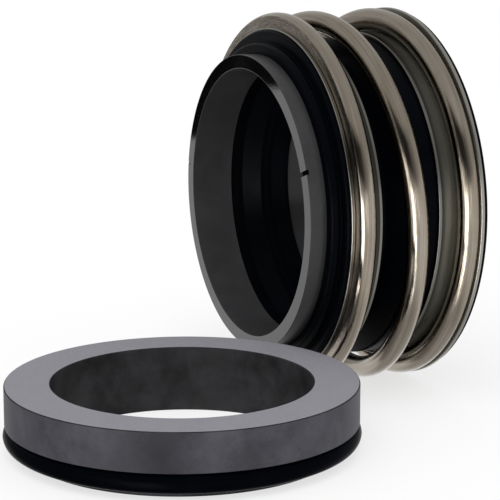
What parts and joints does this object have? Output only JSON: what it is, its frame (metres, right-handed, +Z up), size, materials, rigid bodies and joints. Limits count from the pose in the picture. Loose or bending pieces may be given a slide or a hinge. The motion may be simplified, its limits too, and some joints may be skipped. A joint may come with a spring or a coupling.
{
  "type": "mechanical seal",
  "caption": "Elastomer bellows mechanical seal for a 35 mm shaft: sprung rotating head with its face ring, and the stationary seat with its O-ring.",
  "frame": {"origin": "on the floor, under the middle of the whole set's box", "axes": "+Z up; +X along the head's axis, from the sealing face to the rear of the head; the seat lies flat on the -X -Y side with its own axis along Z"},
  "size_m": [0.0724, 0.0796, 0.057],
  "materials": {
    "face_carbide": "dark grey silicon carbide, lapped on the sealing face and fine ground elsewhere",
    "seat_carbide": "grey silicon carbide, lapped on top and fine ground on the walls",
    "bellows_rubber": "black moulded rubber, satin to glossy",
    "o_ring_rubber": "black moulded rubber, satin",
    "spring_steel": "polished stainless spring wire",
    "collar_steel": "pressed stainless sheet, fine brushed"
  },
  "bodies": {
    "tail_set": {"bellows": "bellows_rubber", "spring": "spring_steel", "rear_collar": "collar_steel", "seat": "seat_carbide", "seat_o_ring": "o_ring_rubber"},
    "face_unit": {"seal_face": "face_carbide", "front_collar": "collar_steel"}
  },
  "joints": [
    {"name": "face_slide", "type": "slide", "parent": "tail_set", "child": "face_unit", "axis": [1, 0, 0], "range_m": [0, 0.004], "stiffness_N_per_m": 4470, "deforming": ["spring", "bellows"]}
  ]
}
